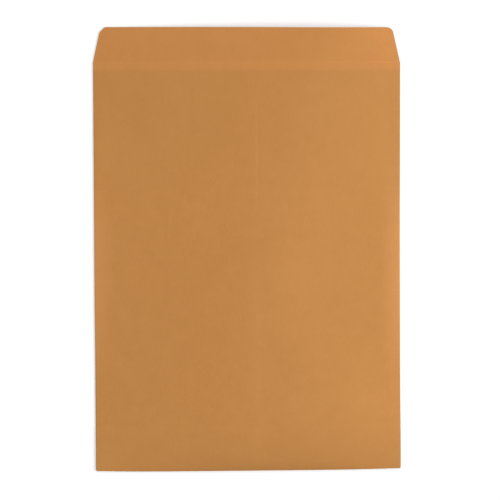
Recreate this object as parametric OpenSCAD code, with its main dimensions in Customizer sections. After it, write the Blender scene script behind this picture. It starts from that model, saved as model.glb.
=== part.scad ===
// A large kraft-paper envelope that opens at its short end. It lies on its back, with the seal flap opened
// out. It is one die-cut sheet: the front panel carries the seal flap, the bottom flap and two back panels.
// The back panels fold in and lap at the centre seam, and the bottom flap folds up and is glued over them.
// X runs across the width, Y from the bottom fold to the flap's tip and Z up. The floor is at z = 0, and the
// origin is under the middle of the outline. All sizes are in millimetres.

/* [Paper] */
// Thickness of the paper
paper_t = 0.15; // [0.12:0.01:0.24]

/* [Body] */
// Width of the envelope, from side fold to side fold
body_w = 228.6; // [160:0.1:330]
// Length of the envelope, from the bottom fold to the flap's score
body_h = 304.8; // [230:0.1:400]

/* [Seal flap] */
// Depth of the flap, from the score to its tip
flap_h = 27; // [16:0.5:50]
// How far each side of the flap leans in, in degrees
flap_taper = 12.5; // [4:0.5:25]
// Size of the flap's corners, one cut straight at 45 degrees and one rounded
corner_size = 4; // [2:0.1:8]

/* [Back] */
// Distance from the score down to the straight edge of the back panels, the throat
throat_drop = 6; // [5:0.5:25]
// Width of the lap where the two back panels meet
seam_lap = 15; // [8:0.5:30]
// Depth of the bottom flap
bottom_flap_h = 28; // [20:0.5:60]
// How far the bottom flap starts in from each side fold
bottom_flap_inset = 2.5; // [1:0.1:6]
// How far each side of the bottom flap leans in, in degrees
bottom_flap_taper = 15; // [4:0.5:30]
// Radius of the bottom flap's corners
bottom_flap_r = 8; // [2:0.5:12]
// Clear border between the gum and the bottom flap's edges
glue_margin = 4; // [2:0.5:6]
// Thickness of the dried gum
glue_t = 0.05; // [0.03:0.01:0.1]
// Gap between the bottom fold and the lower edge of the back panels
panel_clear = 0.8; // [0.4:0.1:3]
// Length over which the back panels come down to the floor, past the end of the bottom flap
ramp = 6; // [3:0.5:12]
// Width of the step that the left panel makes over the edge of the right one
jog = 2; // [1:0.1:4]

/* [Folds] */
// Inner gap of the folds at the two sides
fold_gap = 0.3; // [0.1:0.02:0.6]
// Height of the ridge that the score leaves on the front
score_ridge = 0.08; // [0.02:0.01:0.15]
// Half width of that ridge
ridge_w = 0.9; // [0.5:0.05:0.95]
// Distance from the score to the second, fainter ridge below it
score_pitch = 2.6; // [2:0.1:3]
// Length over which the side folds open out flat above the throat
fold_open = 0.8; // [0.4:0.1:1]

/* [Fullness] */
// How far the middle of the front stands above the side folds at the mouth
mouth_lift = 7; // [1:0.1:14]
// The same at the tip of the opened flap
tip_lift = 6.6; // [1:0.1:14]
// Length over which the front rises from the bottom fold, up to about two thirds of the lift
rise_length = 13; // [10:1:60]

/* [Detail] */
// Strips across the front panel
columns = 22; // [8:2:30]
// Steps round each fold
fold_steps = 5; // [3:1:8]

/* [Hidden] */
kraft = "#C0813F";

// Where the front's crown runs. It lies right of the centre, furthest at the flap and in the lowest quarter.
// Each line has a place along the length, as a share of it, and then how far right of the centre the crown
// lies and how broad it is, as shares of half the width.
crown_line = [
    [0, 0.15, 0.50], [0.10, 0.27, 0.70], [0.20, 0.20, 0.68], [0.34, 0.08, 0.33], [0.455, 0.10, 0.16],
    [0.61, 0.15, 0.27], [0.73, 0.25, 0.35], [0.86, 0.25, 0.65], [0.95, 0.45, 0.74], [1, 0.52, 0.42]
];

// Outer radius of the side folds, and the height of the back panels where they lie on the bottom flap
side_r = fold_gap / 2 + paper_t;
back_z = paper_t + glue_t;
// The bottom fold goes round the bottom flap, the gum, the back panels and the front
bottom_r = back_z / 2 + side_r;

// Places along the length
y_bottom = -(body_h + flap_h) / 2;
y_fold = y_bottom + bottom_r;
y_panel = y_fold + panel_clear;
y_score = y_bottom + body_h;
y_throat = y_score - throat_drop;
y_tip = y_score + flap_h;

// The back panels start down to the floor here, just past the end of the bottom flap
y_ramp = y_fold + bottom_flap_h + ramp / 6;

// Half width between the centres of the side folds
fold_x = body_w / 2 - side_r;

// Radius of the flap's round corner, which ends level with the straight-cut one
corner_r = corner_size * tan(45 + flap_taper / 2) / cos(flap_taper);

function smooth(t) = let (k = min(1, max(0, t))) k * k * (3 - 2 * k);

// Height of the back panels' underside
function back_level(y) = back_z * (1 - smooth((y - y_ramp) / ramp));

// How far the crown of the front stands above its edges
function lift(y) =
    y > y_score
        ? mouth_lift + (tip_lift - mouth_lift) * (y - y_score) / flap_h
        : mouth_lift * (1 - exp(-max(0, y - y_fold) / rise_length));

// The crown's distance right of the centre and its breadth, at a place along the length
function crown_at(y) =
    let (
        share = (y - y_bottom) / (y_tip - y_bottom),
        i = max(concat([0], [for (j = [0 : len(crown_line) - 2]) if (crown_line[j][0] <= share) j])),
        p = crown_line[i],
        q = crown_line[i + 1],
        at = p + (q - p) * smooth((share - p[0]) / (q[0] - p[0]))
    )
    [at[1] * body_w / 2, at[2] * body_w / 2];

// How far a rounded ridge has dropped at a distance d from its top. It leans down evenly outside its breadth w.
function drop(d, w) = norm([d, w]) - w;

// Height of the front above its edges. The side is 1 right of the crown and -1 left of it.
function arch(x, y) =
    let (c = crown_at(y), side = x > c[0] ? 1 : -1, reach = square_half(y, side) - side * c[0])
    lift(y) * (1 - drop(abs(x - c[0]), c[1]) / drop(reach, c[1]));

// Slope of the front where it reaches its left (-1) or right (1) edge, and the same as an angle
function edge_slope(y, side) =
    let (c = crown_at(y), reach = fold_x - side * c[0])
    lift(y) * reach / norm([reach, c[1]]) / drop(reach, c[1]);
function edge_angle(y, side) = atan(edge_slope(y, side));

function in_tube(y) = y > y_panel - 0.01 && y < y_throat + 0.01;

// Half width of the front, with the flap's corners still square
function square_half(y, side) =
    y < y_throat + 0.01 ? fold_x + side_r * sin(edge_angle(y, side))
    : body_w / 2 - max(0, y - y_score) * tan(flap_taper);

// Height of the front's left or right edge
function edge_level(y, side) =
    y < y_throat + 0.01 ? back_level(y) + side_r * (1 + cos(edge_angle(y, side)))
    : side_r + max(paper_t, side_r) * (1 - 0.6 * (y - y_throat) / (y_tip - y_throat));

// The two low ridges of the score
function ridge(d) = max(0, 1 - abs(d) / ridge_w);
function score_level(y) = score_ridge * (ridge(y - y_score) + 0.6 * ridge(y - y_score + score_pitch));

// Height of the front's outer face
function front_level(x, y) =
    let (
        left = edge_level(y, -1),
        right = edge_level(y, 1),
        across = (x / square_half(y, x < 0 ? -1 : 1) + 1) / 2
    )
    left + (right - left) * across + arch(x, y) + score_level(y);

// The way the outer face looks there
function front_normal(x, y) =
    let (e = 0.04)
    let (n = [
        (front_level(x - e, y) - front_level(x + e, y)) / (2 * e),
        (front_level(x, y - e) - front_level(x, y + e)) / (2 * e),
        1
    ])
    n / norm(n);

// Half width of a circle of radius r at a distance from its centre
function chord(r, d) = sqrt(max(0, r * r - d * d));

// Half width of the flap at its corners. The left one is cut straight, the right one is round.
function left_half(y) =
    let (d = y - (y_tip - corner_size))
    d > 0 ? square_half(y_tip - corner_size, -1) - d : square_half(y, -1);
function right_half(y) =
    y > y_tip - corner_size
        ? square_half(y_tip, 1) - corner_size / cos(flap_taper) + chord(corner_r, y - y_tip + corner_r)
        : square_half(y, 1);

// Half width of the bottom flap at a distance from the fold
function bottom_half(p) =
    let (
        t = bottom_flap_r / tan(45 + bottom_flap_taper / 2),
        square = body_w / 2 - bottom_flap_inset - p * tan(bottom_flap_taper),
        tip = body_w / 2 - bottom_flap_inset - bottom_flap_h * tan(bottom_flap_taper)
    )
    p > bottom_flap_h - t * cos(bottom_flap_taper) + 0.001
        ? tip - t + chord(bottom_flap_r, p - bottom_flap_h + bottom_flap_r)
        : square;

// Every row of the sheet, each as [zone, place]. The bottom flap (0) runs from its tip back to the fold, the
// bottom fold (1) goes round in degrees, and the front (2) runs up to the tip of the seal flap.
function corner_rows(tip, r, taper, n) =
    [for (i = [0 : n]) tip - r + r * sin(taper + (90 - taper) * i / n)];
function span(a, b, n) = [for (i = [1 : n]) a + (b - a) * i / n];

bottom_rows = [
    for (p = concat([0], corner_rows(bottom_flap_h, bottom_flap_r, bottom_flap_taper, 4))) [0, p]
];
fold_rows = [for (i = [1 : fold_steps - 1]) [1, -90 + 180 * i / fold_steps]];
front_rows = [
    for (y = concat(
        [y_fold, y_panel],
        [for (i = [1 : 7]) y_panel + (y_ramp - y_panel) * pow(i / 7, 1.4)],
        span(y_ramp, y_ramp + ramp, 3),
        span(y_ramp + ramp, y_throat, 12),
        [y_throat + fold_open],
        [for (d = [-ridge_w, 0, ridge_w]) y_score - score_pitch + d * 0.999],
        [for (d = [-ridge_w, 0, ridge_w]) y_score + d],
        span(y_score + ridge_w, y_tip - corner_size, 2),
        [for (y = corner_rows(y_tip, corner_r, flap_taper, 5)) if (y > y_tip - corner_size + 0.001) y]
    )) [2, y]
];
rows = concat(
    [for (i = [len(bottom_rows) - 1 : -1 : 0]) bottom_rows[i]],
    fold_rows,
    front_rows
);

// A place on the sheet, as [outer point, inner point]. The column runs from -1 at the left edge to 1.
function sheet(row, c) =
    row[0] == 0 ? let (x = c * bottom_half(row[1])) [[x, y_fold + row[1], 0], [x, y_fold + row[1], paper_t]]
    : row[0] == 1 ?
        let (
            k = (90 - row[1]) / 180,
            x = c * (fold_x * (1 - k) + bottom_half(0) * k),
            r = bottom_r - paper_t
        )
        [
            [x, y_fold - bottom_r * cos(row[1]), bottom_r * (1 + sin(row[1]))],
            [x, y_fold - r * cos(row[1]), bottom_r + r * sin(row[1])]
        ]
    : let (
        y = row[1],
        x = c * (c < 0 ? left_half(y) : right_half(y)),
        p = [x, y, front_level(x, y)]
    )
    [p, p - paper_t * front_normal(x, y)];

// The side fold at a height, stepping down from the front to the back. The side is 1 on the right.
function side_fold(y, side) = [
    for (i = [1 : fold_steps])
    let (
        top = 90 - edge_angle(y, side),
        a = top - (top + 90) * i / fold_steps,
        z = back_level(y) + side_r,
        r = side_r - paper_t
    )
    [
        [side * (fold_x + side_r * cos(a)), y, z + side_r * sin(a)],
        [side * (fold_x + r * cos(a)), y, z + r * sin(a)]
    ]
];

// The centre seam from right to left. The left panel steps up over the edge of the right one.
function seam(y) =
    let (z = back_level(y), t = paper_t, h = seam_lap / 2)
    [
        [[h, y, z], [h, y, z + t]],
        [[h - 0.5, y, z], [h, y, z + 2 * t]],
        [[-h, y, z], [-h + 0.5, y, z + 2 * t]],
        [[-h, y, z + t], [-h, y, z + 2 * t]],
        [[-h - jog, y, z], [-h - jog, y, z + t]]
    ];

// Places of the strips across the front, closer together towards the edges, where the front turns down
function strip(j) = let (k = 2 * j / columns - 1) k * (1.18 - 0.18 * k * k);

// One whole row: the front from left to right, then round the right fold, the back and the left fold
function ring(row) =
    let (
        front = [for (j = [0 : columns]) sheet(row, strip(j))],
        left = side_fold(row[1], -1)
    )
    row[0] == 2 && in_tube(row[1])
        ? concat(front, side_fold(row[1], 1), seam(row[1]), [for (i = [fold_steps - 1 : -1 : 0]) left[i]])
        : front;

rings = [for (row = rows) ring(row)];
// The first and the last row that go all the way round
first = min([for (i = [0 : len(rows) - 1]) if (len(rings[i]) > columns + 1) i]);
last = max([for (i = [0 : len(rows) - 1]) if (len(rings[i]) > columns + 1) i]);
round_n = len(rings[first]);
total = len([for (r = rings) for (p = r) p]);

// Number of the outer point at a row and a column. The inner one is as far on as there are outer points.
function at(r, c) =
    r < first ? r * (columns + 1) + c
    : r <= last ? first * (columns + 1) + (r - first) * round_n + c % round_n
    : first * (columns + 1) + (last - first + 1) * round_n + (r - last - 1) * (columns + 1) + c;

function quad(a, b, c, d) = [[a, b, c], [a, c, d]];
// The two faces of the sheet in one cell of the grid
function cell(r, c) = concat(
    quad(at(r, c), at(r + 1, c), at(r + 1, c + 1), at(r, c + 1)),
    quad(total + at(r, c), total + at(r, c + 1), total + at(r + 1, c + 1), total + at(r + 1, c))
);
// The cut edge of the sheet from one point to the next, and the same where the two back panels begin
function cut_edge(a, b) = quad(a, b, total + b, total + a);
function panel_edge(a, b) = quad(b, total + b, total + a, a);

// The folded sheet as one closed surface
module folded_sheet() {
    end = len(rows) - 1;
    // Cells of the front, cells of the folds and the back, and then the cut edges all round the sheet
    faces = [
        for (r = [0 : end - 1]) for (c = [0 : columns - 1]) for (f = cell(r, c)) f,
        for (r = [first : last - 1]) for (c = [columns : round_n - 1]) for (f = cell(r, c)) f,
        for (c = [0 : columns - 1]) for (f = cut_edge(at(0, c), at(0, c + 1))) f,
        for (c = [0 : columns - 1]) for (f = cut_edge(at(end, c + 1), at(end, c))) f,
        for (c = [columns : round_n - 1]) for (f = panel_edge(at(first, c), at(first, c + 1))) f,
        for (c = [columns : round_n - 1]) for (f = cut_edge(at(last, c + 1), at(last, c))) f,
        for (r = [0 : end - 1]) if (r < first || r >= last)
            for (f = cut_edge(at(r + 1, 0), at(r, 0))) f,
        for (r = [0 : end - 1]) if (r < first || r >= last)
            for (f = cut_edge(at(r, columns), at(r + 1, columns))) f
    ];
    polyhedron(
        points = concat([for (r = rings) for (p = r) p[0]], [for (r = rings) for (p = r) p[1]]),
        faces = faces
    );
}

// The dried gum between the bottom flap and the back panels
module bottom_gum() {
    near = panel_clear + glue_margin;
    far = bottom_flap_h - glue_margin;
    translate([0, y_fold, paper_t / 2])
        linear_extrude(height = paper_t + glue_t)
            polygon([
                [-bottom_half(near) + glue_margin, near],
                [bottom_half(near) - glue_margin, near],
                [bottom_half(far) - glue_margin, far],
                [-bottom_half(far) + glue_margin, far]
            ]);
}

module envelope() {
    color(kraft)
        union() {
            folded_sheet();
            bottom_gum();
        }
}

envelope();
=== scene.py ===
# %% [markdown]
# # A large kraft-paper envelope
# The object is one die-cut sheet of brown paper, folded and glued into an envelope that opens at its short
# end. It lies on its back with the seal flap opened out, and the camera looks straight down at its front.
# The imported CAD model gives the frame: its place, its size and the body that everything rides on.

# %% Load the frame
import math

import bpy
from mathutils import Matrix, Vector, noise


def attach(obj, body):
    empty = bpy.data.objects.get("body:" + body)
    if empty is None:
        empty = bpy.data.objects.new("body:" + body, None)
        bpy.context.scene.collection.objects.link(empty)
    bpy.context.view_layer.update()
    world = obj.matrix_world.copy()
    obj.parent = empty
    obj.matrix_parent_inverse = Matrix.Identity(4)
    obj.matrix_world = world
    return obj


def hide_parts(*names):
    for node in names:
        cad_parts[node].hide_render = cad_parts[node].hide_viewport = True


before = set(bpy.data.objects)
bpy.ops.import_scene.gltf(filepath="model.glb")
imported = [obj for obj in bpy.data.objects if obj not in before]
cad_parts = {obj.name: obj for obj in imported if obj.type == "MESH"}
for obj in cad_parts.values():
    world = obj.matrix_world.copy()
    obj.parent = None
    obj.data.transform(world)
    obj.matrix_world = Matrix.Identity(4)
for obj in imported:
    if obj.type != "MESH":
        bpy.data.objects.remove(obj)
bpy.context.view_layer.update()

MM = 0.001              # a millimetre in Blender's metres


# %% [markdown]
# ## Sizes
# Every size is in millimetres, as on the maker's drawing, and is turned to metres only when a point is made.
# They are the same values that the CAD model has, so the finer sheet built here lies where the solid lies.

# %% The sheet and its flaps
PAPER = 0.15            # thickness of the sheet
BODY_W = 228.6          # side fold to side fold
BODY_H = 304.8          # bottom fold to the flap's score
FLAP_H = 27.0           # score to the flap's tip
FLAP_TAPER = math.radians(12.5)
CORNER = 4.0            # the flap's corners
THROAT_DROP = 6.0       # score down to the back panels' edge
SEAM_LAP = 15.0         # width over which the back panels lap
SEAM_JOG = 2.0          # width of the step over the other panel's edge
BOTTOM_FLAP_H = 28.0
BOTTOM_FLAP_INSET = 2.5
BOTTOM_FLAP_TAPER = math.radians(15)
BOTTOM_FLAP_R = 8.0     # its corners
GLUE = 0.05             # thickness of the dried gum
PANEL_CLEAR = 0.8       # bottom fold to the back panels' lower edge
RAMP = 6.0              # length over which the back comes down to the floor
FOLD_GAP = 0.3          # inner gap of the side folds

# %% Places and radii that follow from them
SIDE_R = FOLD_GAP / 2 + PAPER
BACK_Z = PAPER + GLUE
BOTTOM_R = BACK_Z / 2 + SIDE_R
Y_BOTTOM = -(BODY_H + FLAP_H) / 2
Y_FOLD = Y_BOTTOM + BOTTOM_R
Y_PANEL = Y_FOLD + PANEL_CLEAR
Y_SCORE = Y_BOTTOM + BODY_H
Y_THROAT = Y_SCORE - THROAT_DROP
Y_TIP = Y_SCORE + FLAP_H
Y_RAMP = Y_FOLD + BOTTOM_FLAP_H + RAMP / 6
HALF_W = BODY_W / 2
HALF_LAP = SEAM_LAP / 2
FOLD_X = HALF_W - SIDE_R
CORNER_R = CORNER * math.tan(math.pi / 4 + FLAP_TAPER / 2) / math.cos(FLAP_TAPER)
NEAR = 0.01             # places closer than this count as one
print("sheet from y", round(Y_BOTTOM, 1), "to", round(Y_TIP, 1), "mm, mouth at", round(Y_THROAT, 1))

# %% [markdown]
# ## How the paper lies
# An empty envelope is never quite flat. Its front springs up from the two side folds and the bottom fold
# into a low arch, because the folds push back. Such a form could be sculpted, or found with a cloth
# simulation. Here it is written as a height for each place, because every fold and edge then stays at its
# exact size.

# %% How high the back and the crown lie
MOUTH_LIFT = 7.0        # how far the crown stands above the side folds at the mouth
TIP_LIFT = 6.6          # and at the flap's tip
RISE_LENGTH = 13.0      # how quickly it rises from the bottom fold
FOLD_ROLL = 0.8         # the part of that rise which is in the fold's own round edge
FOLD_ROLL_LENGTH = 1.6


def smooth(t):
    """Goes from 0 to 1 as t does, and starts and ends softly."""
    t = min(1.0, max(0.0, t))
    return t * t * (3 - 2 * t)


def fade(v, start, end):
    """0 at the start and 1 at the end, with a soft way between. The end may lie below the start."""
    return smooth((v - start) / (end - start))


def back_level(y):
    """Underside of the back panels. They lie on the bottom flap, then come down to the floor."""
    return BACK_Z * (1 - fade(y, Y_RAMP, Y_RAMP + RAMP))


def lift(y):
    """How far the crown stands above the side edges."""
    if y > Y_SCORE:
        return MOUTH_LIFT + (TIP_LIFT - MOUTH_LIFT) * (y - Y_SCORE) / FLAP_H
    s = max(0.0, y - Y_FOLD)
    roll = FOLD_ROLL * (1 - math.exp(-s / FOLD_ROLL_LENGTH))
    return (MOUTH_LIFT - FOLD_ROLL) * (1 - math.exp(-s / RISE_LENGTH)) + roll


print("crown above the side folds:", [round(lift(y), 1) for y in (Y_PANEL, Y_RAMP, 0, Y_TIP)], "mm")

# %% Where the crown runs
# The crown lies right of the centre, furthest at the flap and low down. Each line has a place along the
# length, as a share of it, and then how far right of the centre the crown lies and how broad it is, as
# shares of half the width.
CROWN_LINE = [
    (0, 0.15, 0.50), (0.10, 0.27, 0.70), (0.20, 0.20, 0.68), (0.34, 0.08, 0.33), (0.455, 0.10, 0.16),
    (0.61, 0.15, 0.27), (0.73, 0.25, 0.35), (0.86, 0.25, 0.65), (0.95, 0.45, 0.74), (1, 0.52, 0.42),
]


def crown_at(y):
    """The crown's distance right of the centre and its breadth, at a place along the length."""
    share = (y - Y_BOTTOM) / (Y_TIP - Y_BOTTOM)
    for before, after in zip(CROWN_LINE, CROWN_LINE[1:]):
        if share <= after[0]:
            break
    t = fade(share, before[0], after[0])
    return [(p + (q - p) * t) * HALF_W for p, q in zip(before[1:], after[1:])]


print("crown right of the centre:", [round(crown_at(y)[0], 1) for y in (Y_BOTTOM, 0, Y_TIP)], "mm")

# %% The arch from the crown to the side folds
EDGE_FULL = 0.7         # how much fuller the front is beside the right side fold, where it is fullest
EDGE_FULL_Y = -16       # where that is
EDGE_FULL_LENGTH = 62   # half the length that it fades away over
EDGE_TURN = 14.0        # width over which the front turns down to the fold there


def bell(d, w):
    """1 in the middle, fading away over a half width w."""
    return math.exp(-(d / w) ** 2)


def ridge(d, breadth):
    """How far a rounded ridge has dropped at a distance from its top."""
    return math.hypot(d, breadth) - breadth


def edge_full(y, side):
    """How much fuller the front is beside its left (side -1) or right (side 1) fold."""
    return EDGE_FULL * bell(y - EDGE_FULL_Y, EDGE_FULL_LENGTH) if side > 0 else 0.0


def arch(x, y, half):
    """Height of the front above its edges, at a place where it is half that wide to one side."""
    middle, breadth = crown_at(y)
    side = 1 if x > middle else -1
    reach = half - side * middle
    d = abs(x - middle)
    height = lift(y) * (1 - ridge(d, breadth) / ridge(reach, breadth))
    turn = max(0.0, 1 - (reach - d) / EDGE_TURN)
    return height + edge_full(y, side) * (d / reach - turn * turn)


def edge_angle(y, side):
    """How steeply the front leaves its side fold, as an angle."""
    middle, breadth = crown_at(y)
    reach = FOLD_X - side * middle
    slope = lift(y) * reach / math.hypot(reach, breadth) / ridge(reach, breadth)
    return math.atan(slope + edge_full(y, side) * (2 / EDGE_TURN - 1 / reach))


print("front to side fold:", [round(math.degrees(edge_angle(0, side)), 1) for side in (-1, 1)], "degrees")

# %% The front's own edges
FLAP_SINK = 0.6         # share of a side fold's radius by which the flap's edge has come down at the tip


def square_half(y, side):
    """Half width of the front, with the flap's corners still square."""
    if y < Y_THROAT + NEAR:
        return FOLD_X + SIDE_R * math.sin(edge_angle(y, side))
    return HALF_W - max(0.0, y - Y_SCORE) * math.tan(FLAP_TAPER)


def edge_level(y, side):
    """Height of the front's edge: on top of the side fold, and above the throat the cut edge."""
    if y < Y_THROAT + NEAR:
        return back_level(y) + SIDE_R * (1 + math.cos(edge_angle(y, side)))
    return SIDE_R + SIDE_R * (1 - FLAP_SINK * (y - Y_THROAT) / (Y_TIP - Y_THROAT))


print("half width at mid length:", round(square_half(0, 1), 2), "mm, edge at z", round(edge_level(0, 1), 2))

# %% [markdown]
# ## What a handled sheet shows
# Four small things break the smooth arch on the real front: the dip past the throat, the score's two fine
# ridges, the low step where the seam's edge below shows through, and soft waves from damp and handling.
# They could be painted as bump. They are real heights here, so that they catch the light from every side.

# %% The dip and the score
DIP = 0.28              # depth of the dip
DIP_FALL = (0.2, 8.2)   # how far past the throat it starts and has its full depth
DIP_RISE = (9, 27)      # and where it comes up again
SCORE_RIDGE, SCORE_RIDGE_W = 0.045, 0.7     # height and half width of the ridge at the score
FAINT_RIDGE, FAINT_RIDGE_W = 0.015, 0.5     # and of the fainter one below it
SCORE_PITCH = 2.6       # between the two
LEFT_SHARE = 0.6        # how strong the dip and the score are at the left end
LEFT_FADE = (-100, 30)  # and the places between which they get their full strength


def score_level(x, y):
    """Height that the dip and the score's ridges add to the front."""
    past = y - Y_THROAT
    share = LEFT_SHARE + (1 - LEFT_SHARE) * fade(x, *LEFT_FADE)
    at_score = SCORE_RIDGE * share * bell(y - Y_SCORE, SCORE_RIDGE_W)
    below_it = FAINT_RIDGE * bell(y - Y_SCORE + SCORE_PITCH, FAINT_RIDGE_W)
    return -DIP * share * (fade(past, *DIP_FALL) - fade(past, *DIP_RISE)) + (at_score + below_it)


print("deepest point of the dip:", round(min(score_level(60, Y_THROAT + i / 2) for i in range(60)), 2), "mm")

# %% The step over the seam's edge
# The sheet lies lower right of the seam. The step is crisp in the upper part of the front and softer in the
# lower part. Right of it the front comes up again before the side fold.
UPPER_STEP, UPPER_STEP_X = 0.09, (-2.4, 0.4)    # height, and start and end from the lap's right edge
LOWER_STEP, LOWER_STEP_X = 0.15, (-4, 5)
UPPER_TOP = (118, 100)  # the upper step is gone at the first of these places and full at the second
UPPER_WEAK = (10, 40)   # below the first only a weak share of it is left, and above the second it is full
WEAK_SHARE = 0.3
LOWER_TOP = (-22, -47)  # the lower step is gone at the first and full at the second
LOWER_END = 12          # and it fades out again over this length above the bottom fold
STEP_BACK = (105, 25)   # the front starts to come up at the second, and is up again at the first


def seam_level(x, y):
    """How much lower the front lies because of the seam."""
    upper = fade(y, *UPPER_TOP) * (WEAK_SHARE + (1 - WEAK_SHARE) * fade(y, *UPPER_WEAK))
    lower = fade(y, *LOWER_TOP) * fade(y, Y_FOLD, Y_FOLD + LOWER_END)
    past = x - HALF_LAP
    step = UPPER_STEP * upper * fade(past, *UPPER_STEP_X) + LOWER_STEP * lower * fade(past, *LOWER_STEP_X)
    return step * fade(x, *STEP_BACK)


print("step high up and low down:", [round(seam_level(20, y), 2) for y in (80, -100)], "mm")

# %% Soft waves and the whole front
# Each wave is (x, y, half width, half length, height), chosen from where the front looks lighter or darker
WAVES = [
    (50, 40, 20, 15, 0.55), (50, -20, 40, 30, 0.75), (60, -5, 20, 40, -0.55), (45, -30, 20, 30, -0.65),
    (75, -115, 15, 20, 0.4), (-55, -120, 55, 20, 0.6), (-100, 105, 30, 60, -0.2), (95, 80, 12, 75, 0.15),
]
# Two finer layers of unevenness, each (height, width, length, place in the noise)
RIPPLES = [(0.10, 34, 46, 3.7), (0.02, 11, 15, 9.1)]
CALM = 25               # distance from the side folds and the bottom fold over which they all fade out


def detail_level(x, y):
    """Height that the score, the seam below and the waves add to the front."""
    inside = fade(abs(x), HALF_W, HALF_W - CALM) * fade(y, Y_FOLD, Y_FOLD + CALM)
    z = score_level(x, y) - seam_level(x, y)
    z += inside * sum(h * bell(x - cx, rx) * bell(y - cy, ry) for cx, cy, rx, ry, h in WAVES)
    for height, width, length, seed in RIPPLES:
        z += inside * height * noise.noise(Vector((x / width, y / length, seed)))
    return z


def front_level(x, y):
    """Height of the front's outer face."""
    side = 1 if x > 0 else -1
    left, right = edge_level(y, -1), edge_level(y, 1)
    level = left + (right - left) * (x / square_half(y, side) + 1) / 2
    crown_side = 1 if x > crown_at(y)[0] else -1
    return level + arch(x, y, square_half(y, crown_side)) + detail_level(x, y)


print("front at the middle:", round(front_level(0, 0), 2), "mm above the floor")

# %% [markdown]
# ## The outline of the sheet
# The die cuts the flap with leaning sides. One of its corners is cut straight and the other is round, as the
# photograph shows. The bottom flap is hidden, and has the tapered, rounded form that such envelopes have. A
# flat outline could be drawn as a curve. Half widths are used, because the grid below asks for them.

# %% Half widths along the sheet
def chord(r, d):
    """Half width of a circle at a distance from its middle."""
    return math.sqrt(max(0.0, r * r - d * d))


def front_half(y, side):
    """Half width of the front at a height, on the left (side -1) or the right (side 1)."""
    d = y - (Y_TIP - CORNER)
    if d <= 0:
        return square_half(y, side)
    if side < 0:
        return square_half(Y_TIP - CORNER, side) - d
    round_from = square_half(Y_TIP, side) - CORNER / math.cos(FLAP_TAPER)
    return round_from + chord(CORNER_R, y - Y_TIP + CORNER_R)


def bottom_half(p):
    """Half width of the bottom flap at a distance from its fold."""
    start = HALF_W - BOTTOM_FLAP_INSET
    t = BOTTOM_FLAP_R / math.tan(math.pi / 4 + BOTTOM_FLAP_TAPER / 2)
    if p > BOTTOM_FLAP_H - t * math.cos(BOTTOM_FLAP_TAPER) + NEAR:
        tip = start - BOTTOM_FLAP_H * math.tan(BOTTOM_FLAP_TAPER)
        return tip - t + chord(BOTTOM_FLAP_R, p - BOTTOM_FLAP_H + BOTTOM_FLAP_R)
    return start - p * math.tan(BOTTOM_FLAP_TAPER)


print("bottom flap's width at its fold and 20 mm from it:", [round(2 * bottom_half(p), 1) for p in (0, 20)])

# %% [markdown]
# ## Rows and columns
# The unfolded sheet is a cross: one long strip from the bottom flap to the seal flap, and a back panel on
# each side of it. Its faces could be pulled out by hand, edge by edge. A grid is used, with rows along the
# length and columns across, because every fold then runs along a row or a column. The rows crowd where the
# paper bends, at the folds and the score, and spread where it is nearly flat.

# %% Rows from the bottom flap's tip to the seal flap's tip
ROUNDING = 1e-6         # a step may be longer than its size by this share


def steps(a, b, size):
    """Places after a up to b, no further apart than size."""
    n = max(1, math.ceil(abs(b - a) / size - ROUNDING))
    return [a + (b - a) * i / n for i in range(1, n + 1)]


def spread(marks):
    """Places from the first mark to the last. Each mark is (place, size of the steps that follow it)."""
    places = [marks[0][0]]
    for (start, size), (end, _) in zip(marks, marks[1:]):
        places += steps(start, end, size)
    return places


def corner_steps(tip, r, taper, n=8):
    """Places along a round corner, up to its tip."""
    return [tip - r + r * math.sin(taper + (math.pi / 2 - taper) * i / n) for i in range(n + 1)]


FOLD_STEPS = 10
bottom_places = [0.0, 2.0, 6.0, 12.0, 18.0] + corner_steps(BOTTOM_FLAP_H, BOTTOM_FLAP_R, BOTTOM_FLAP_TAPER)
front_places = [Y_FOLD, Y_FOLD + 0.25, Y_FOLD + 0.5] + spread([
    (Y_PANEL, 0.5), (Y_PANEL + 4, 1.6), (Y_RAMP, 1.0), (Y_RAMP + RAMP, 3.2), (Y_THROAT - 6, 1.0),
    (Y_THROAT - 2, 0.4), (Y_THROAT, 0.3), (Y_SCORE + 4.4, 1.8), (Y_TIP - CORNER, None),
])
front_places += corner_steps(Y_TIP, CORNER_R, FLAP_TAPER)[1:]

rows = [("flap", p) for p in reversed(bottom_places)]
rows += [("fold", -math.pi / 2 + math.pi * i / FOLD_STEPS) for i in range(1, FOLD_STEPS)]
rows += [("front", y) for y in front_places]
print(len(rows), "rows")

# %% Columns from the left panel's edge, over the front, to the right panel's edge
# Across the front they are shares of the half width, and crowd at the seam's edge and beside the folds
PANEL_STEP = 12         # largest step across the back panels
across = spread([(-1.0, 0.0125), (-0.9, 0.026), (0.04, 0.005), (0.09, 0.026), (0.9, 0.0125), (1.0, None)])
left_back = spread([(HALF_LAP, 5), (-HALF_LAP, 0.5), (-HALF_LAP - SEAM_JOG, PANEL_STEP), (-FOLD_X, None)])
columns = [("left back", x) for x in left_back]
columns += [("left fold", i / FOLD_STEPS) for i in range(FOLD_STEPS - 1, 0, -1)]
columns += [("front", k) for k in across]
columns += [("right fold", i / FOLD_STEPS) for i in range(1, FOLD_STEPS + 1)]
columns += [("right back", x) for x in steps(FOLD_X, -HALF_LAP, PANEL_STEP)]
print(len(columns), "columns")

# %% [markdown]
# ## Every point twice
# Paper has two faces. Blender's Solidify modifier could give the sheet its thickness, but it rounds the
# shading over the cut edges. Each place on the grid gives its own pair of points instead: one on the outer
# face and one on the inner face, a sheet's thickness along the way the paper looks there.

# %% Pairs of points on the bottom flap, its fold and the front
def on_bottom_flap(p, k):
    """On the bottom flap, at a distance from its fold and a share of its half width."""
    x, y = k * bottom_half(p), Y_FOLD + p
    return (x, y, 0.0), (x, y, PAPER)


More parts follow.
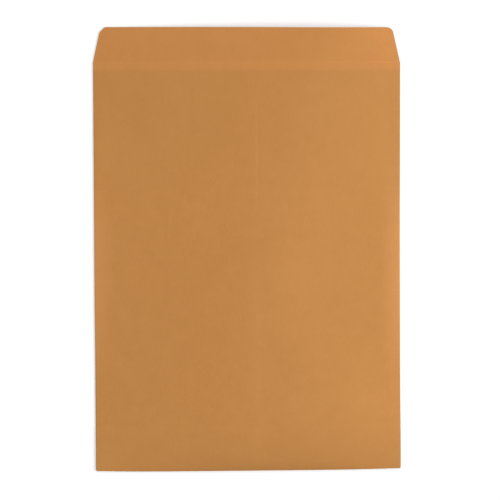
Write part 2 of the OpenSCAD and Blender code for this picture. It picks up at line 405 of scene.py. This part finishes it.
def on_bottom_fold(a, k):
    """On the half circle at an angle that runs from a quarter turn below the middle to one above it."""
    share = (math.pi / 2 - a) / math.pi
    x = k * (FOLD_X * (1 - share) + bottom_half(0) * share)
    r = BOTTOM_R - PAPER
    outer = (x, Y_FOLD - BOTTOM_R * math.cos(a), BOTTOM_R * (1 + math.sin(a)))
    return outer, (x, Y_FOLD - r * math.cos(a), BOTTOM_R + r * math.sin(a))


def front_normal(x, y, e=0.05):
    """The way the front looks, from its heights a small distance e to each side."""
    n = Vector((
        front_level(x - e, y) - front_level(x + e, y),
        front_level(x, y - e) - front_level(x, y + e),
        2 * e,
    ))
    return n.normalized()


def on_front(y, k):
    """On the front or the seal flap, at a share of the half width there."""
    x = k * front_half(y, -1 if k < 0 else 1)
    outer = Vector((x, y, front_level(x, y)))
    return outer, outer - PAPER * front_normal(x, y)


print("outer and inner point at the tip:", [[round(v, 2) for v in point] for point in on_front(Y_TIP, 0)])

# %% Pairs of points on the side folds and the back panels
LAP_AIR = 0.01          # between the two panels where they lap


def on_side_fold(y, share, side):
    """On the fold, at a share of the way from the front round to the back panel."""
    top = math.pi / 2 - edge_angle(y, side)
    a = top - (top + math.pi / 2) * share
    z = back_level(y) + SIDE_R
    pair = []
    for r in (SIDE_R, SIDE_R - PAPER):
        pair.append((side * (FOLD_X + r * math.cos(a)), y, z + r * math.sin(a)))
    return pair


def on_back(y, x, side):
    """On a back panel. The left one steps up over the edge of the right one."""
    z = back_level(y)
    if side < 0:
        z += (PAPER + LAP_AIR) * fade(x, -HALF_LAP - SEAM_JOG, -HALF_LAP)
    return (x, y, z), (x, y, z + PAPER)


def place(row, column):
    """The outer and the inner point at a row and a column, or None where the sheet has no paper."""
    zone, v = row
    part, u = column
    if part == "front":
        return {"flap": on_bottom_flap, "fold": on_bottom_fold, "front": on_front}[zone](v, u)
    if zone != "front" or not Y_PANEL - NEAR < v < Y_THROAT + NEAR:
        return None
    side = -1 if part.startswith("left") else 1
    return on_side_fold(v, u, side) if part.endswith("fold") else on_back(v, u, side)


print("underside of the lap:", round(on_back(0, 0, -1)[0][2], 2), "mm")

# %% [markdown]
# ### Corners, tip and sides
# A sheet that arches draws its outline with it, and a hand-folded edge wanders a little. The photograph's
# outline shows both, by less than a millimetre. A lattice could bend the finished mesh. Moving each point
# by a formula keeps the folds closed and needs no second object.

# %% Draw the outline as the real one is drawn
CORNERS_UP, FOLD_DOWN = 0.75, 0.15          # bottom corners and the middle of the bottom fold
TIP_DOWN = 0.62
RIGHT_LOW, RIGHT_MIDDLE = 0.52, -0.20       # the right side, to the right
LEFT_LOW, LEFT_FLAP = 0.22, -0.30           # the left side, to the right
BOTTOM_PART = (-110, -165)                  # places between which the bottom's part comes in
RIGHT_PART = (-80, -160)
LEFT_PART = (-30, -90)
FLAP_PART = (Y_SCORE - 2, Y_SCORE + 4)
CORNER_X = 110          # where the corners have their full pull
TIP_X, TIP_W = 72, 70   # where the tip is drawn down the most, and over what half width
MIDDLE_Y, MIDDLE_W = 15, 60                 # the same for the right side's middle
SIDE_X = 114


def pulled(point):
    """A point of the folded sheet, in metres, where the arch has drawn it."""
    x, y, z = point
    corners = CORNERS_UP * min(1.0, abs(x) / CORNER_X) ** 4 - FOLD_DOWN
    dy = fade(y, *BOTTOM_PART) * corners
    dy -= TIP_DOWN * fade(y, Y_SCORE, Y_TIP) * bell(x - TIP_X, TIP_W)
    right = RIGHT_LOW * fade(y, *RIGHT_PART) + RIGHT_MIDDLE * bell(y - MIDDLE_Y, MIDDLE_W)
    left = LEFT_LOW * fade(y, *LEFT_PART) + LEFT_FLAP * fade(y, *FLAP_PART)
    dx = smooth(x / SIDE_X) * right + smooth(-x / SIDE_X) * left
    return ((x + dx) * MM, (y + dy) * MM, z * MM)


print("bottom left corner:", [round(v / MM, 2) for v in pulled((-HALF_W, Y_BOTTOM, 0))])

# %% [markdown]
# ## Cells, faces and cut edges
# Four neighbouring places make a cell, with a face on either side of the paper. Where a cell has no
# neighbour, the die has cut the sheet, and a narrow strip closes it. Blender could fill such a rim by
# itself. The strips are made here, because each needs its own finish: a cut edge shows the pale core.

# %% Number the points and find the cells
def number_points():
    """The sheet's points, and the number of the outer one at each row and column. The inner one is next."""
    points, number = [], {}
    for r, row in enumerate(rows):
        for c, column in enumerate(columns):
            pair = place(row, column)
            if pair:
                number[r, c] = len(points)
                points += [pulled(pair[0]), pulled(pair[1])]
    return points, number


def corners_of(cell):
    """The four corners of a cell as rows and columns, in the order of its outer face."""
    r, c = cell
    return [(r, c), (r, c + 1), (r + 1, c + 1), (r + 1, c)]


points, number = number_points()
cells = sorted(corner for corner in number if all(p in number for p in corners_of(corner)))
print(len(points), "points,", len(cells), "cells")

# %% Join them into a mesh
OUTER, INNER, CUT = 0, 1, 2     # the finish of each face


def sheet_faces():
    """The sheet's faces, and the finish of each."""
    faces, finishes = [], []
    known = set(cells)
    for r, c in cells:
        outer = [number[p] for p in corners_of((r, c))]
        faces += [outer, [v + 1 for v in reversed(outer)]]
        finishes += [OUTER, INNER]
        around = [(r - 1, c), (r, c + 1), (r + 1, c), (r, c - 1)]
        for i, cell in enumerate(around):
            if cell not in known:
                a, b = outer[i], outer[(i + 1) % 4]
                faces.append([b, a, a + 1, b + 1])
                finishes.append(CUT)
    return faces, finishes


faces, finishes = sheet_faces()
sheet_mesh = bpy.data.meshes.new("folded_sheet")
sheet_mesh.from_pydata(points, [], faces)
sheet_mesh.update()
print(len(sheet_mesh.vertices), "points and", len(sheet_mesh.polygons), "faces")

# %% [markdown]
# ### Shading
# The eye sees a soft fold and a crisp cut. Smooth faces give the fold, but they would round the cut too.
# The mesh could be split there, but then it wouldn't be closed, so the edges between a paper face and a cut
# edge are marked as sharp.

# %% Smooth faces, crisp cut edges
for face, finish in zip(sheet_mesh.polygons, finishes):
    face.material_index = finish
    face.use_smooth = finish != CUT

edge_finishes = {}
for face in sheet_mesh.polygons:
    for key in face.edge_keys:
        edge_finishes.setdefault(key, set()).add(face.material_index == CUT)
for edge in sheet_mesh.edges:
    edge.use_edge_sharp = len(edge_finishes[edge.key]) == 2
print(sum(edge.use_edge_sharp for edge in sheet_mesh.edges), "sharp edges")

# %% [markdown]
# ## The piece on its frame
# The finished sheet rides on the CAD model's one body and stands in for its plain solid. It is an object at
# the origin with its place in its mesh, as the solid is.

# %% Put it in the scene
envelope = bpy.data.objects.new("envelope_sheet", sheet_mesh)
bpy.context.collection.objects.link(envelope)
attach(envelope, "root")
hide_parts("envelope")
used = {v for face in sheet_mesh.polygons for v in face.vertices}
print("loose points:", len(sheet_mesh.vertices) - len(used))

# %% [markdown]
# ## Kraft paper
# Kraft is unbleached softwood pulp. Long brown fibres are laid down wet in clouds, pressed between felts and
# dried on a hot drum. The eye sees a warm brown that is a little uneven, with fine hairs of fibre, most of
# them along the way the paper ran, and a few specks of bark. It is matt, with a soft sheen at a low angle.
# A picture texture could hold all this. Noise nodes are used because their scale comes from real sizes.

# %% Helpers for the materials
def srgb(code):
    """Linear colour from an sRGB hex code."""
    values = [int(code[i:i + 2], 16) / 255 for i in (1, 3, 5)]
    return [v / 12.92 if v <= 0.04045 else ((v + 0.055) / 1.055) ** 2.4 for v in values] + [1.0]


def add(tree, kind, inputs=(), **settings):
    """Adds a node with its settings. Its inputs are values, or other nodes' sockets to link."""
    node = tree.nodes.new(kind)
    for key, value in settings.items():
        setattr(node, key, value)
    for key, value in dict(inputs).items():
        if isinstance(value, bpy.types.NodeSocket):
            tree.links.new(value, node.inputs[key])
        else:
            node.inputs[key].default_value = value
    return node


def per_mm(size):
    """Scale of a pattern whose marks are this many millimetres apart. Object coordinates are in metres."""
    return 1000 / size


KRAFT = "#C18341"       # the sheet's own brown
KRAFT_DARK = "#BE803E"  # thicker clouds of fibre
KRAFT_PALE = "#C48644"  # thinner clouds
FIBRE = "#CF9252"       # a pale hair that lies on top
BARK = "#8A5A2E"
PAINTED_LIGHT_THROUGH_ONE_PLY = "#D28442"     # painted light: warmer and paler where one sheet lets light through from under it
PAINTED_SHADE_TINT = "#B47C3D"   # painted shade below the mouth and over the bottom flap
PALE_FIBRE_AND_PAINTED_HIGHLIGHT = "#DC9756"      # paler stretched fibre at the score, and painted highlight there, below it and beside the side folds
CORE = "#D0A06A"        # the cut edge
GUM = "#A97A3E"
print("kraft brown as a linear colour:", [round(v, 3) for v in srgb(KRAFT)[:3]])

# %% [markdown]
# ### The pattern in the pulp
# The same pulp shows on both faces, so one function makes its colour and its relief. Clouds are about 9 mm
# across. A real fibre is 0.03 mm wide and 3 mm long, which is too fine to show here, so the hairs are drawn
# about 0.5 mm wide. One noise could make them all. Three are used, each turned another way, because real
# fibres cross.

# %% Clouds of fibre
CLOUD, BROAD_CLOUD = 9, 45      # distances between clouds, and between groups of them
BROAD_SHARE = 0.35


def clouds_colour(tree, where):
    """Brown that varies with the thickness of the pulp."""
    clouds = add(tree, "ShaderNodeTexNoise", {
        "Vector": where, "Scale": per_mm(CLOUD), "Detail": 4.0, "Roughness": 0.6,
    }).outputs["Fac"]
    broad = add(tree, "ShaderNodeTexNoise", {
        "Vector": where, "Scale": per_mm(BROAD_CLOUD), "Detail": 1.0, "Roughness": 0.5,
    }).outputs["Fac"]
    both = add(tree, "ShaderNodeMix", {"Factor": BROAD_SHARE, 2: clouds, 3: broad}).outputs[0]
    # Most of the noise lies between 0.3 and 0.7, so the tones are placed there
    tone = add(tree, "ShaderNodeValToRGB", {"Fac": both})
    ramp = tone.color_ramp
    ramp.elements[0].position, ramp.elements[0].color = 0.30, srgb(KRAFT_DARK)
    ramp.elements[1].position, ramp.elements[1].color = 0.70, srgb(KRAFT_PALE)
    ramp.elements.new(0.50).color = srgb(KRAFT)
    return tone.outputs["Color"]


print("clouds", CLOUD, "mm apart, groups of them", BROAD_CLOUD, "mm")

# %% Hairs and specks
HAIRS = [(6, 0.5, 5.0), (-24, 0.45, 3.5), (68, 0.45, 3.0)]      # (turn in degrees, width, length)
HAIR_DEPTH = 3          # difference in height over which the pattern stays much the same
HAIR_FROM, HAIR_FULL = 0.40, 0.70       # values of the noise where a hair begins and is full
HAIR_STRENGTH = 0.17
SPECK_PITCH, SPECK_STRENGTH = 5, 0.25
SPECK_FULL, SPECK_GONE = 0.04, 0.09     # radius in shares of the pitch


def blend(tree, colour, share, code):
    """The colour, with a share of another one over it."""
    inputs = {"Factor": share, 6: colour, 7: srgb(code)}
    return add(tree, "ShaderNodeMix", inputs, data_type="RGBA").outputs[2]


def pulp(tree):
    """Adds the pulp's nodes and returns the sockets of its place, its colour and its relief."""
    where = add(tree, "ShaderNodeTexCoord").outputs["Object"]
    colour = clouds_colour(tree, where)
    relief = None
    for turn, width, length in HAIRS:
        turned = add(tree, "ShaderNodeMapping", {
            "Vector": where, "Rotation": (0, 0, math.radians(turn)),
            "Scale": (per_mm(width), per_mm(length), per_mm(HAIR_DEPTH)),
        }).outputs["Vector"]
        hairs = add(tree, "ShaderNodeTexNoise", {
            "Vector": turned, "Scale": 1.0, "Detail": 2.0, "Roughness": 0.7,
        }).outputs["Fac"]
        strength = add(tree, "ShaderNodeMapRange", {
            "Value": hairs, "From Min": HAIR_FROM, "From Max": HAIR_FULL,
            "To Min": 0.0, "To Max": HAIR_STRENGTH,
        }).outputs["Result"]
        colour = blend(tree, colour, strength, FIBRE)
        relief = hairs if relief is None else add(tree, "ShaderNodeMath", {
            0: relief, 1: hairs,
        }, operation="ADD").outputs["Value"]

    specks = add(tree, "ShaderNodeTexVoronoi", {
        "Vector": where, "Scale": per_mm(SPECK_PITCH), "Randomness": 1.0,
    }).outputs["Distance"]
    share = add(tree, "ShaderNodeMapRange", {
        "Value": specks, "From Min": SPECK_FULL, "From Max": SPECK_GONE,
        "To Min": SPECK_STRENGTH, "To Max": 0.0,
    }).outputs["Result"]
    return where, blend(tree, colour, share, BARK), relief


print("hairs", [width for _, width, _ in HAIRS], "mm wide, specks", SPECK_PITCH, "mm apart")

# %% Start and end of a paper material
CELLULOSE_IOR = 1.5
SHEEN = 0.35            # a felted surface gives back less of the light at its surface than a smooth one
RELIEF_STRENGTH = 0.25


def paper_material(name):
    """An empty material and its node tree."""
    material = bpy.data.materials.new(name)
    material.use_nodes = True
    tree = material.node_tree
    tree.nodes.clear()
    return material, tree


def close_material(tree, colour, relief, roughness, depth):
    """Ends a paper material: colour and relief, as deep as given, go into a matt Principled shader."""
    bump = add(tree, "ShaderNodeBump", {
        "Height": relief, "Strength": RELIEF_STRENGTH, "Distance": depth * MM,
    }).outputs["Normal"]
    shader = add(tree, "ShaderNodeBsdfPrincipled", {
        "Base Color": colour, "Roughness": roughness, "IOR": CELLULOSE_IOR, "Specular IOR Level": SHEEN,
        "Normal": bump,
    }).outputs["BSDF"]
    add(tree, "ShaderNodeOutputMaterial", {"Surface": shader})


print("IOR of the fibres:", CELLULOSE_IOR)

# %% [markdown]
# ### The outer face
# A little light comes back through the paper from what lies under it, most above the throat, where there is
# one
# sheet. That light is painted: the colour is tinted paler and warmer there, in a band, because letting light
# through the sheet itself is slow and noisy. Painted shade darkens the front below the mouth and over the
# bottom flap. Where the paper has been folded or scored, its fibres are stretched and look paler: the
# score's pale line is that, with a painted highlight on it. A painted highlight also lies in a band just
# below the score, and beside the long side folds.

# %% Bands of tint
BEYOND = 400            # a place past either end of the sheet
# Bands along the length, each (from, to, how soft its start is, and its end, amount, colour)
LENGTH_BANDS = [
    # painted light through the one sheet above the throat
    (Y_THROAT + 0.7, BEYOND, 0.9, 0.9, 0.18, PAINTED_LIGHT_THROUGH_ONE_PLY),
    # painted shade on the front below the mouth
    (80, Y_THROAT + 0.7, 50, 0.9, 0.22, PAINTED_SHADE_TINT),
    # painted shade over the bottom flap
    (-BEYOND, Y_FOLD + BOTTOM_FLAP_H - 3, 16, 16, 0.14, PAINTED_SHADE_TINT),
    # painted highlight in a band between the throat and the score
    (Y_THROAT + 1.5, Y_SCORE + 1.2, 0.9, 0.9, 0.045, PALE_FIBRE_AND_PAINTED_HIGHLIGHT),
    # pale stretched fibre at the score, with a painted highlight on it
    (Y_SCORE - 0.1, Y_SCORE + 0.5, 0.4, 0.4, 0.08, PALE_FIBRE_AND_PAINTED_HIGHLIGHT),
]


def band(tree, value, low, high, soft, soft_high=None):
    """1 between two places along an axis, in millimetres, and 0 outside, with soft borders."""
    up = add(tree, "ShaderNodeMapRange", {
        "Value": value, "From Min": (low - soft) * MM, "From Max": (low + soft) * MM,
    }).outputs["Result"]
    soft = soft_high or soft
    down = add(tree, "ShaderNodeMapRange", {
        "Value": value, "From Min": (high + soft) * MM, "From Max": (high - soft) * MM,
    }).outputs["Result"]
    return add(tree, "ShaderNodeMath", {0: up, 1: down}, operation="MULTIPLY").outputs["Value"]


def tint(tree, colour, mask, amount, code):
    """The colour, with an amount of another one over it where a mask is 1."""
    share = add(tree, "ShaderNodeMath", {0: mask, 1: amount}, operation="MULTIPLY").outputs["Value"]
    return blend(tree, colour, share, code)


print(len(LENGTH_BANDS), "bands along the length")

# %% Outer face of the sheet
FACE_ROUGHNESS, FACE_RELIEF = 0.72, 0.04    # relief in millimetres

face_material, tree = paper_material("kraft_paper_face")
where, colour, relief = pulp(tree)
axes = add(tree, "ShaderNodeSeparateXYZ", {"Vector": where})
x_place, y_place = axes.outputs["X"], axes.outputs["Y"]
for low, high, soft, soft_high, amount, code in LENGTH_BANDS:
    colour = tint(tree, colour, band(tree, y_place, low, high, soft, soft_high), amount, code)
print(face_material.name, len(tree.nodes), "nodes so far")

# %% Painted highlight along the side folds
SIDE_HIGHLIGHT_X, SIDE_HIGHLIGHT_SOFT = 106.5, 7.0                # where the painted highlight starts beside the folds, and how softly
SIDE_HIGHLIGHT_Y = -20             # it is strongest here
SIDE_HIGHLIGHT_LENGTH = (20, 95)   # and fades out between these distances from there
SIDE_HIGHLIGHT_AMOUNT = 0.40

clear_of_folds = band(tree, x_place, -SIDE_HIGHLIGHT_X, SIDE_HIGHLIGHT_X, SIDE_HIGHLIGHT_SOFT)
beside_folds = add(tree, "ShaderNodeMath", {0: 1.0, 1: clear_of_folds}, operation="SUBTRACT").outputs["Value"]
from_middle = add(tree, "ShaderNodeMath", {0: y_place, 1: SIDE_HIGHLIGHT_Y * MM}, operation="SUBTRACT").outputs["Value"]
distance = add(tree, "ShaderNodeMath", {0: from_middle}, operation="ABSOLUTE").outputs["Value"]
along = add(tree, "ShaderNodeMapRange", {
    "Value": distance, "From Min": SIDE_HIGHLIGHT_LENGTH[0] * MM, "From Max": SIDE_HIGHLIGHT_LENGTH[1] * MM,
    "To Min": 1.0, "To Max": 0.0,
}, interpolation_type="SMOOTHSTEP").outputs["Result"]
painted_side_highlight = add(tree, "ShaderNodeMath", {0: beside_folds, 1: along}, operation="MULTIPLY").outputs["Value"]
# painted highlight: a paler tint beside both side folds, strongest near the middle of the length
colour = tint(tree, colour, painted_side_highlight, SIDE_HIGHLIGHT_AMOUNT, PALE_FIBRE_AND_PAINTED_HIGHLIGHT)
close_material(tree, colour, relief, FACE_ROUGHNESS, FACE_RELIEF)
print(face_material.name, len(tree.nodes), "nodes")

# %% [markdown]
# ### The inner face and its gum
# The inner face is the felt side: a little rougher than the outer one. On the flap it carries the seal gum,
# a band of dried dextrin that is smooth, darker and glossy. The gum could be a thin solid of its own. It is
# a change of finish, because it is no thicker than the paper's own relief. It faces the floor here, and
# shows when the part is turned.

# %% Inner face of the sheet
INNER_ROUGHNESS, GUM_ROUGHNESS, INNER_RELIEF = 0.8, 0.28, 0.05
GUM_Y, GUM_Y_SOFT = (Y_TIP - 20, Y_TIP - 3), 0.3    # where it starts and ends, and how softly
GUM_X, GUM_X_SOFT = 102, 0.8
GUM_AMOUNT = 0.7

inner_material, tree = paper_material("kraft_paper_inside_with_gum")
where, colour, relief = pulp(tree)
axes = add(tree, "ShaderNodeSeparateXYZ", {"Vector": where})
gummed = add(tree, "ShaderNodeMath", {
    0: band(tree, axes.outputs["Y"], *GUM_Y, GUM_Y_SOFT),
    1: band(tree, axes.outputs["X"], -GUM_X, GUM_X, GUM_X_SOFT),
}, operation="MULTIPLY").outputs["Value"]
colour = tint(tree, colour, gummed, GUM_AMOUNT, GUM)
matt_or_gum = add(tree, "ShaderNodeMapRange", {
    "Value": gummed, "To Min": INNER_ROUGHNESS, "To Max": GUM_ROUGHNESS,
}).outputs["Result"]
close_material(tree, colour, relief, matt_or_gum, INNER_RELIEF)
print(inner_material.name, len(tree.nodes), "nodes")

# %% [markdown]
# ### The cut edge
# The die leaves a fuzzy edge that shows the pale middle of the sheet. It is 0.15 mm high, so a plain noise
# between two tones is enough.

# %% Cut edge
FUZZ = 0.6              # distance between tufts of fibre, in millimetres
EDGE_ROUGHNESS, EDGE_RELIEF = 0.9, 0.05

edge_material, tree = paper_material("kraft_paper_cut_edge")
where = add(tree, "ShaderNodeTexCoord").outputs["Object"]
fuzz = add(tree, "ShaderNodeTexNoise", {
    "Vector": where, "Scale": per_mm(FUZZ), "Detail": 2.0,
}).outputs["Fac"]
colour = blend(tree, srgb(KRAFT), fuzz, CORE)
close_material(tree, colour, fuzz, EDGE_ROUGHNESS, EDGE_RELIEF)

for material in (face_material, inner_material, edge_material):
    sheet_mesh.materials.append(material)
print(edge_material.name, len(tree.nodes), "nodes;", len(sheet_mesh.materials), "materials on the sheet")

# %% [markdown]
# ## A white studio floor
# The envelope lies on a matt plane painted white, which keeps its soft shadow. The camera alone sees a
# little white added to it. More light on the floor could whiten it too, but it would wash out the paper.

# %% Floor
PAINTED = "#EAEAEA"     # matt white paint
WHITE = "#FFFFFF"
FLOOR_SIZE = 8          # metres
FLOOR_Z = -0.0001       # just under the sheet, so that the two don't share a plane
FLOOR_WHITE = 0.26      # added for the camera where the envelope lies
BACKDROP_WHITE = 0.8    # and further away, where the lamps are weaker
FLOOR_NEAR, FLOOR_FAR = 0.4, 1.2            # metres from the middle, where each of them holds

bpy.ops.mesh.primitive_plane_add(size=FLOOR_SIZE, location=(0, 0, FLOOR_Z))
floor = bpy.context.object
floor.name = "studio_floor"
floor_material = bpy.data.materials.new("matt_white_floor")
floor_material.use_nodes = True
tree = floor_material.node_tree
tree.nodes.clear()
seen = add(tree, "ShaderNodeLightPath").outputs["Is Camera Ray"]
white = add(tree, "ShaderNodeBsdfDiffuse", {"Color": srgb(PAINTED)}).outputs["BSDF"]
where = add(tree, "ShaderNodeTexCoord").outputs["Object"]
out = add(tree, "ShaderNodeVectorMath", {0: where}, operation="LENGTH").outputs["Value"]
added = add(tree, "ShaderNodeMapRange", {
    "Value": out, "From Min": FLOOR_NEAR, "From Max": FLOOR_FAR,
    "To Min": FLOOR_WHITE, "To Max": BACKDROP_WHITE,
}).outputs["Result"]
extra = add(tree, "ShaderNodeMath", {0: seen, 1: added}, operation="MULTIPLY").outputs["Value"]
glow = add(tree, "ShaderNodeEmission", {"Color": srgb(WHITE), "Strength": extra}).outputs["Emission"]
together = add(tree, "ShaderNodeAddShader", {0: white, 1: glow}).outputs["Shader"]
add(tree, "ShaderNodeOutputMaterial", {"Surface": together})
floor.data.materials.append(floor_material)
print(floor.name, "is", FLOOR_SIZE, "m wide")

# %% [markdown]
# ## Light
# Soft light from a low side is what shows a shallow arch. A white world fills in from every side, a large
# lamp stands low to the right, and a weaker one stands past the flap, as the shading of the front shows. A
# sky picture could light the scene too, but two lamps and a plain world are easier to match to a photograph.

# %% World
WORLD_LIGHT = 0.46      # what the white world gives to the object. The camera sees it at full white.

world = bpy.data.worlds.new("white_studio")
bpy.context.scene.world = world
world.use_nodes = True
tree = world.node_tree
tree.nodes.clear()
seen = add(tree, "ShaderNodeLightPath").outputs["Is Camera Ray"]
strength = add(tree, "ShaderNodeMapRange", {
    "Value": seen, "To Min": WORLD_LIGHT, "To Max": 1.0,
}).outputs["Result"]
sky = add(tree, "ShaderNodeBackground", {"Color": srgb(WHITE), "Strength": strength})
add(tree, "ShaderNodeOutputWorld", {"Surface": sky.outputs["Background"]})
print(world.name, "lights the object at", WORLD_LIGHT)


# %% Lamps
def lamp(name, place, size, watts):
    """A square soft lamp that looks at the middle of the envelope. Its place and size are in metres."""
    data = bpy.data.lights.new(name, "AREA")
    data.shape = "SQUARE"
    data.size = size
    data.energy = watts
    obj = bpy.data.objects.new(name, data)
    obj.location = place
    obj.rotation_euler = (-Vector(place)).to_track_quat("-Z", "Y").to_euler()
    bpy.context.collection.objects.link(obj)
    print(name, watts, "W,", round(Vector(place).length, 2), "m away")


lamp("key_right", place=(4.6, -0.4, 2.1), size=2.2, watts=226)
lamp("top_light", place=(0.0, 5.4, 3.0), size=2.2, watts=136)

# %% [markdown]
# ## Camera
# A long lens from far away keeps the sides of a flat thing nearly parallel, as they are in the photograph.
# The camera hangs 2 m above the floor. It stands a little left of the middle and towards the flap, which
# gives the outline its slight lean. Its place and turn could come from a tracking tool. Here they were
# matched to the photograph's outline, which is sharp.

# %% Camera
LENS, SENSOR = 193.0, 36                    # millimetres
CAMERA_PLACE = (-0.0935, 0.1179, 1.9959)    # metres
CAMERA_TURN = (-3.374, -2.745, -0.187)      # degrees about X, Y and Z

camera_data = bpy.data.cameras.new("overhead_camera")
camera_data.lens = LENS
camera_data.sensor_width = SENSOR
camera = bpy.data.objects.new("overhead_camera", camera_data)
camera.location = CAMERA_PLACE
camera.rotation_euler = [math.radians(a) for a in CAMERA_TURN]
bpy.context.collection.objects.link(camera)
bpy.context.scene.camera = camera
print(camera.name, "is", round(camera.location.length, 2), "m from the middle")

# %% View settings
bpy.context.scene.view_settings.view_transform = "Standard"
